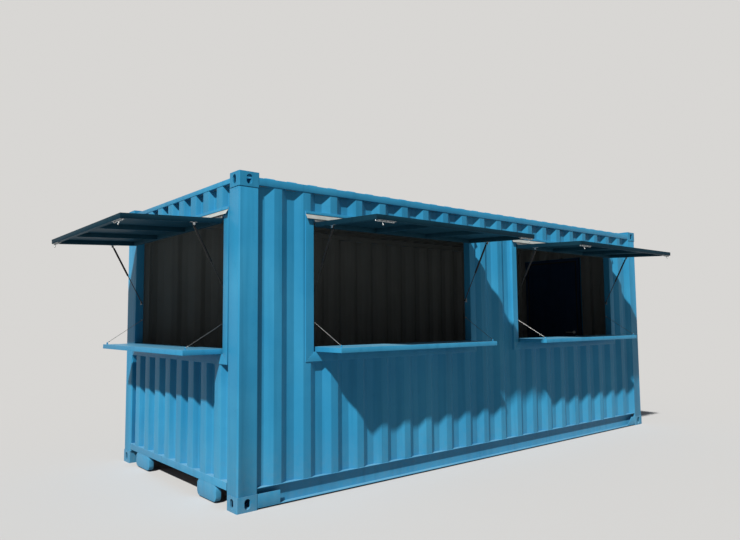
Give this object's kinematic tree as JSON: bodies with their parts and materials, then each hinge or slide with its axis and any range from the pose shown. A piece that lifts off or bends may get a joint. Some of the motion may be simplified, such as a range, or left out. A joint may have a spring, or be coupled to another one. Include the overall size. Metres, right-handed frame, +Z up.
{
  "type": "shipping container cabin",
  "caption": "Steel shipping container turned into a serving cabin: corrugated walls, hatches with raised awnings on gas struts, fold-down counters on wire stays and an end door.",
  "frame": {"origin": "centre of the footprint at the underside of the bottom corner castings", "axes": "+X along the length to the end with the personnel door, the two long hatches face -Y, the third hatch faces -X, +Z up"},
  "size_m": [6.8939, 3.2449, 2.591],
  "materials": {
    "body_blue": "satin sky-blue paint on the frame, rails, hatch frames and counters",
    "wall_sheet": "satin sky-blue paint outside, dark grey inside, on corrugated sheet",
    "casting_steel": "sky-blue paint over cast steel, worn at the edges",
    "floor_plywood": "sealed container plywood",
    "underframe_black": "matt black underseal",
    "zinc_fittings": "zinc plated",
    "flap_rubber": "pale grey rubber strip",
    "strut_rod_steel": "dark nitrided steel, satin",
    "strut_tube_black": "gloss black",
    "stay_wire": "galvanised wire rope",
    "awning_slate": "satin dark slate-blue paint on the awning flaps",
    "door_paint": "satin dark-blue paint",
    "handle_steel": "satin"
  },
  "bodies": {
    "root": {"bottom_castings": "casting_steel", "top_castings": "casting_steel", "corner_posts": "body_blue", "top_side_rails": "body_blue", "top_end_rails": "body_blue", "bottom_side_rails": "body_blue", "rail_gussets": "body_blue", "end_sills": "body_blue", "sill_tabs": "body_blue", "cross_members": "underframe_black", "floor": "floor_plywood", "front_wall_piers": "wall_sheet", "front_wall_under_hatches": "wall_sheet", "front_wall_over_hatches": "wall_sheet", "back_wall": "wall_sheet", "left_end_wall": "wall_sheet", "right_end_wall": "wall_sheet", "roof": "wall_sheet", "left_hatch_frame": "body_blue", "right_hatch_frame": "body_blue", "end_hatch_frame": "body_blue", "fixed_hinge_leaves": "zinc_fittings", "hinge_flaps": "flap_rubber", "flap_clamps": "body_blue", "jamb_fittings": "zinc_fittings", "door_frame": "door_paint", "door_frame_hinges": "door_paint", "left_stay_cables": "stay_wire", "right_stay_cables": "stay_wire", "end_stay_cables": "stay_wire"},
    "left_awning": {"left_awning_sheet": "awning_slate", "left_awning_frame": "awning_slate", "left_awning_fittings": "zinc_fittings"},
    "left_strut_tubes": {"left_strut_tubes": "strut_tube_black"},
    "left_strut_rods": {"left_strut_rods": "strut_rod_steel"},
    "left_counter": {"left_counter": "body_blue", "left_counter_hinge": "zinc_fittings"},
    "right_awning": {"right_awning_sheet": "awning_slate", "right_awning_frame": "awning_slate", "right_awning_fittings": "zinc_fittings"},
    "right_strut_tubes": {"right_strut_tubes": "strut_tube_black"},
    "right_strut_rods": {"right_strut_rods": "strut_rod_steel"},
    "right_counter": {"right_counter": "body_blue", "right_counter_hinge": "zinc_fittings"},
    "end_awning": {"end_awning_sheet": "awning_slate", "end_awning_frame": "awning_slate", "end_awning_fittings": "zinc_fittings"},
    "end_strut_tubes": {"end_strut_tubes": "strut_tube_black"},
    "end_strut_rods": {"end_strut_rods": "strut_rod_steel"},
    "end_counter": {"end_counter": "body_blue", "end_counter_hinge": "zinc_fittings"},
    "door": {"door_leaf": "door_paint", "door_leaf_hinges": "door_paint", "door_handles": "handle_steel"}
  },
  "joints": [
    {"name": "left_awning_hinge", "type": "hinge", "parent": "root", "child": "left_awning", "pos_m": [-1.3625, -1.227, 2.253], "axis": [1, 0, 0], "range_deg": [0, 87.5]},
    {"name": "left_strut_head", "type": "hinge", "parent": "left_awning", "child": "left_strut_tubes", "pos_m": [-1.3625, -1.46398, 2.17859], "axis": [-1, 0, 0], "range_deg": [0, 115.88]},
    {"name": "left_strut_stroke", "type": "slide", "parent": "left_strut_tubes", "child": "left_strut_rods", "axis": [0, -0.4731, 0.881], "range_m": [0, 0.24104]},
    {"name": "left_counter_hinge", "type": "hinge", "parent": "root", "child": "left_counter", "pos_m": [-1.3625, -1.153, 1.178], "axis": [-1, 0, 0], "range_deg": [0, 90], "deforming": ["left_stay_cables"]},
    {"name": "right_awning_hinge", "type": "hinge", "parent": "root", "child": "right_awning", "pos_m": [1.3625, -1.227, 2.253], "axis": [1, 0, 0], "range_deg": [0, 87.5]},
    {"name": "right_strut_head", "type": "hinge", "parent": "right_awning", "child": "right_strut_tubes", "pos_m": [1.3625, -1.46398, 2.17859], "axis": [-1, 0, 0], "range_deg": [0, 115.88]},
    {"name": "right_strut_stroke", "type": "slide", "parent": "right_strut_tubes", "child": "right_strut_rods", "axis": [0, -0.4731, 0.881], "range_m": [0, 0.24104]},
    {"name": "right_counter_hinge", "type": "hinge", "parent": "root", "child": "right_counter", "pos_m": [1.3625, -1.153, 1.178], "axis": [-1, 0, 0], "range_deg": [0, 90], "deforming": ["right_stay_cables"]},
    {"name": "end_awning_hinge", "type": "hinge", "parent": "root", "child": "end_awning", "pos_m": [-3.037, 0, 2.253], "axis": [0, -1, 0], "range_deg": [0, 87.5]},
    {"name": "end_strut_head", "type": "hinge", "parent": "end_awning", "child": "end_strut_tubes", "pos_m": [-3.27398, 0, 2.17859], "axis": [0, 1, 0], "range_deg": [0, 115.88]},
    {"name": "end_strut_stroke", "type": "slide", "parent": "end_strut_tubes", "child": "end_strut_rods", "axis": [-0.4731, 0, 0.881], "range_m": [0, 0.24104]},
    {"name": "end_counter_hinge", "type": "hinge", "parent": "root", "child": "end_counter", "pos_m": [-2.963, 0, 1.178], "axis": [0, 1, 0], "range_deg": [0, 90], "deforming": ["end_stay_cables"]},
    {"name": "door_hinge", "type": "hinge", "parent": "root", "child": "door", "pos_m": [3.022, 0.5175, 1.2], "axis": [0, 0, 1], "range_deg": [0, 100]}
  ],
  "couplings": [
    {"joint": "left_strut_head", "follows": "left_awning_hinge", "ratio": 1.3244},
    {"joint": "left_strut_stroke", "follows": "left_awning_hinge", "m_per_rad": 0.15784},
    {"joint": "right_strut_head", "follows": "right_awning_hinge", "ratio": 1.3244},
    {"joint": "right_strut_stroke", "follows": "right_awning_hinge", "m_per_rad": 0.15784},
    {"joint": "end_strut_head", "follows": "end_awning_hinge", "ratio": 1.3244},
    {"joint": "end_strut_stroke", "follows": "end_awning_hinge", "m_per_rad": 0.15784}
  ]
}
